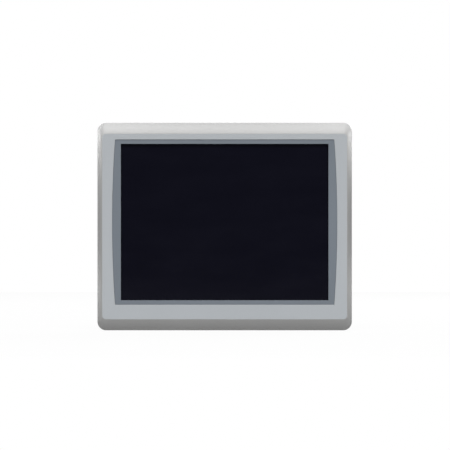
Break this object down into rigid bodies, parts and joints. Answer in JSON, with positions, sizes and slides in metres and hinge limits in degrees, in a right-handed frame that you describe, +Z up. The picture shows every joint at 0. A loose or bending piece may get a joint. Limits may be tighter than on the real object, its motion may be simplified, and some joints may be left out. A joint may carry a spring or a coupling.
{
  "type": "hmi touch panel",
  "caption": "Panel-mount operator touch terminal: crowned grey bezel, recessed wide touch screen, rear housing with connectors, and screw clamps that pull its gasket to a panel.",
  "frame": {"origin": "centre of the panel cut-out, on the front face of the enclosure panel, where the gasket meets it", "axes": "+X right and +Z up as the operator sees the screen; +Y into the enclosure, so the screen faces -Y"},
  "size_m": [0.263, 0.0662, 0.2144],
  "materials": {
    "bezel": "satin silver-grey paint over die-cast aluminium",
    "surround": "satin dark grey overlay",
    "screen_film": "hard-coated film over a dark display",
    "touch_glass": "clear, dark behind",
    "display_glass": "dark polariser on the display cell",
    "rubber": "matt moulded rubber",
    "housing_plastic": "fine spark-eroded texture",
    "black_plastic": "moulded, satin",
    "zinc_sheet": "zinc-plated sheet",
    "steel": "nickel-plated",
    "aluminium": "anodised",
    "circuit_board": "green solder mask",
    "green_plastic": "moulded terminal green",
    "brass": "bright turned",
    "white_plastic": "moulded"
  },
  "bodies": {
    "terminal": {"front_bezel": "bezel", "screen_surround": "surround", "touch_film": "screen_film", "touch_glass": "touch_glass", "lcd_glass": "display_glass", "touch_gasket": "rubber", "panel_gasket": "rubber", "rear_housing": "housing_plastic", "power_socket": "black_plastic", "battery_holder": "black_plastic", "display_bracket": "zinc_sheet", "logic_cover": "zinc_sheet", "lcd_frame": "steel", "ethernet_jack": "steel", "usb_port_1": "steel", "usb_port_2": "steel", "serial_port": "steel", "coin_cell": "steel", "battery_door_pin": "steel", "card_socket": "steel", "housing_screw_1": "steel", "housing_screw_2": "steel", "housing_screw_3": "steel", "housing_screw_4": "steel", "cover_screw_1": "steel", "cover_screw_2": "steel", "cover_screw_3": "steel", "cover_screw_4": "steel", "heat_sink": "aluminium", "rating_plate": "aluminium", "backlight_driver": "circuit_board", "main_board": "circuit_board", "dip_switch": "circuit_board", "serial_jack_screw_1": "brass", "serial_jack_screw_2": "brass", "lcd_backlight": "white_plastic", "display_cable": "white_plastic"},
    "clamp_bracket_1": {"clamp_bracket_1": "zinc_sheet"},
    "clamp_pad_1": {"clamp_pad_1": "black_plastic"},
    "clamp_screw_1": {"clamp_screw_1": "steel"},
    "clamp_bracket_2": {"clamp_bracket_2": "zinc_sheet"},
    "clamp_pad_2": {"clamp_pad_2": "black_plastic"},
    "clamp_screw_2": {"clamp_screw_2": "steel"},
    "clamp_bracket_3": {"clamp_bracket_3": "zinc_sheet"},
    "clamp_pad_3": {"clamp_pad_3": "black_plastic"},
    "clamp_screw_3": {"clamp_screw_3": "steel"},
    "clamp_bracket_4": {"clamp_bracket_4": "zinc_sheet"},
    "clamp_pad_4": {"clamp_pad_4": "black_plastic"},
    "clamp_screw_4": {"clamp_screw_4": "steel"},
    "battery_door": {"battery_door": "black_plastic"},
    "power_plug": {"power_plug": "green_plastic"},
    "terminal_screw_1": {"terminal_screw_1": "steel"},
    "terminal_screw_2": {"terminal_screw_2": "steel"},
    "terminal_screw_3": {"terminal_screw_3": "steel"},
    "memory_card": {"memory_card": "black_plastic"},
    "dip_slider_1": {"dip_slider_1": "white_plastic"},
    "dip_slider_2": {"dip_slider_2": "white_plastic"},
    "reset_button": {"reset_button": "green_plastic"},
    "earth_washer": {"earth_washer": "steel"},
    "earth_screw": {"earth_screw": "brass"}
  },
  "joints": [
    {"name": "clamp_1_slot_slide", "type": "slide", "parent": "terminal", "child": "clamp_bracket_1", "axis": [1, 0, 0], "range_m": [0, 0.008]},
    {"name": "clamp_1_pad_slide", "type": "slide", "parent": "clamp_bracket_1", "child": "clamp_pad_1", "axis": [0, -1, 0], "range_m": [-0.0014, 0.0063]},
    {"name": "clamp_1_screw_turn", "type": "hinge", "parent": "clamp_pad_1", "child": "clamp_screw_1", "pos_m": [-0.085, 0.034, 0.1028], "axis": [0, -1, 0], "range_deg": [-725, 3245]},
    {"name": "clamp_2_slot_slide", "type": "slide", "parent": "terminal", "child": "clamp_bracket_2", "axis": [1, 0, 0], "range_m": [0, 0.008]},
    {"name": "clamp_2_pad_slide", "type": "slide", "parent": "clamp_bracket_2", "child": "clamp_pad_2", "axis": [0, -1, 0], "range_m": [-0.0014, 0.0063]},
    {"name": "clamp_2_screw_turn", "type": "hinge", "parent": "clamp_pad_2", "child": "clamp_screw_2", "pos_m": [0.085, 0.034, 0.1028], "axis": [0, -1, 0], "range_deg": [-725, 3245]},
    {"name": "clamp_3_slot_slide", "type": "slide", "parent": "terminal", "child": "clamp_bracket_3", "axis": [-1, 0, 0], "range_m": [0, 0.008]},
    {"name": "clamp_3_pad_slide", "type": "slide", "parent": "clamp_bracket_3", "child": "clamp_pad_3", "axis": [0, -1, 0], "range_m": [-0.0014, 0.0063]},
    {"name": "clamp_3_screw_turn", "type": "hinge", "parent": "clamp_pad_3", "child": "clamp_screw_3", "pos_m": [-0.085, 0.034, -0.1028], "axis": [0, -1, 0], "range_deg": [-725, 3245]},
    {"name": "clamp_4_slot_slide", "type": "slide", "parent": "terminal", "child": "clamp_bracket_4", "axis": [-1, 0, 0], "range_m": [0, 0.008]},
    {"name": "clamp_4_pad_slide", "type": "slide", "parent": "clamp_bracket_4", "child": "clamp_pad_4", "axis": [0, -1, 0], "range_m": [-0.0014, 0.0063]},
    {"name": "clamp_4_screw_turn", "type": "hinge", "parent": "clamp_pad_4", "child": "clamp_screw_4", "pos_m": [0.085, 0.034, -0.1028], "axis": [0, -1, 0], "range_deg": [-725, 3245]},
    {"name": "battery_door_hinge", "type": "hinge", "parent": "terminal", "child": "battery_door", "pos_m": [-0.052, 0.0544, 0.0542], "axis": [1, 0, 0], "range_deg": [0, 92]},
    {"name": "power_plug_pull", "type": "slide", "parent": "terminal", "child": "power_plug", "axis": [0, 0, -1], "range_m": [0, 0.009]},
    {"name": "terminal_screw_1_turn", "type": "hinge", "parent": "power_plug", "child": "terminal_screw_1", "pos_m": [-0.06708, 0.0496, -0.068], "axis": [0, 1, 0], "range_deg": [0, 1440]},
    {"name": "terminal_screw_2_turn", "type": "hinge", "parent": "power_plug", "child": "terminal_screw_2", "pos_m": [-0.062, 0.0496, -0.068], "axis": [0, 1, 0], "range_deg": [0, 1440]},
    {"name": "terminal_screw_3_turn", "type": "hinge", "parent": "power_plug", "child": "terminal_screw_3", "pos_m": [-0.05692, 0.0496, -0.068], "axis": [0, 1, 0], "range_deg": [0, 1440]},
    {"name": "memory_card_pull", "type": "slide", "parent": "terminal", "child": "memory_card", "axis": [1, 0, 0], "range_m": [0, 0.031]},
    {"name": "dip_slider_1_slide", "type": "slide", "parent": "terminal", "child": "dip_slider_1", "axis": [0, 1, 0], "range_m": [0, 0.0018]},
    {"name": "dip_slider_2_slide", "type": "slide", "parent": "terminal", "child": "dip_slider_2", "axis": [0, 1, 0], "range_m": [0, 0.0018]},
    {"name": "reset_press", "type": "slide", "parent": "terminal", "child": "reset_button", "axis": [-1, 0, 0], "range_m": [0, 0.0008], "stiffness_N_per_m": 800, "springref_m": -0.0003},
    {"name": "earth_washer_lift", "type": "slide", "parent": "terminal", "child": "earth_washer", "axis": [0, 1, 0], "range_m": [0, 0.0035]},
    {"name": "earth_screw_turn", "type": "hinge", "parent": "earth_washer", "child": "earth_screw", "pos_m": [-0.1, 0.0375, -0.078], "axis": [0, 1, 0], "range_deg": [0, 1805]}
  ],
  "couplings": [
    {"joint": "clamp_1_screw_turn", "follows": "clamp_1_pad_slide", "rad_per_m": 8976},
    {"joint": "clamp_2_screw_turn", "follows": "clamp_2_pad_slide", "rad_per_m": 8976},
    {"joint": "clamp_3_screw_turn", "follows": "clamp_3_pad_slide", "rad_per_m": 8976},
    {"joint": "clamp_4_screw_turn", "follows": "clamp_4_pad_slide", "rad_per_m": 8976},
    {"joint": "earth_screw_turn", "follows": "earth_washer_lift", "rad_per_m": 8976}
  ]
}
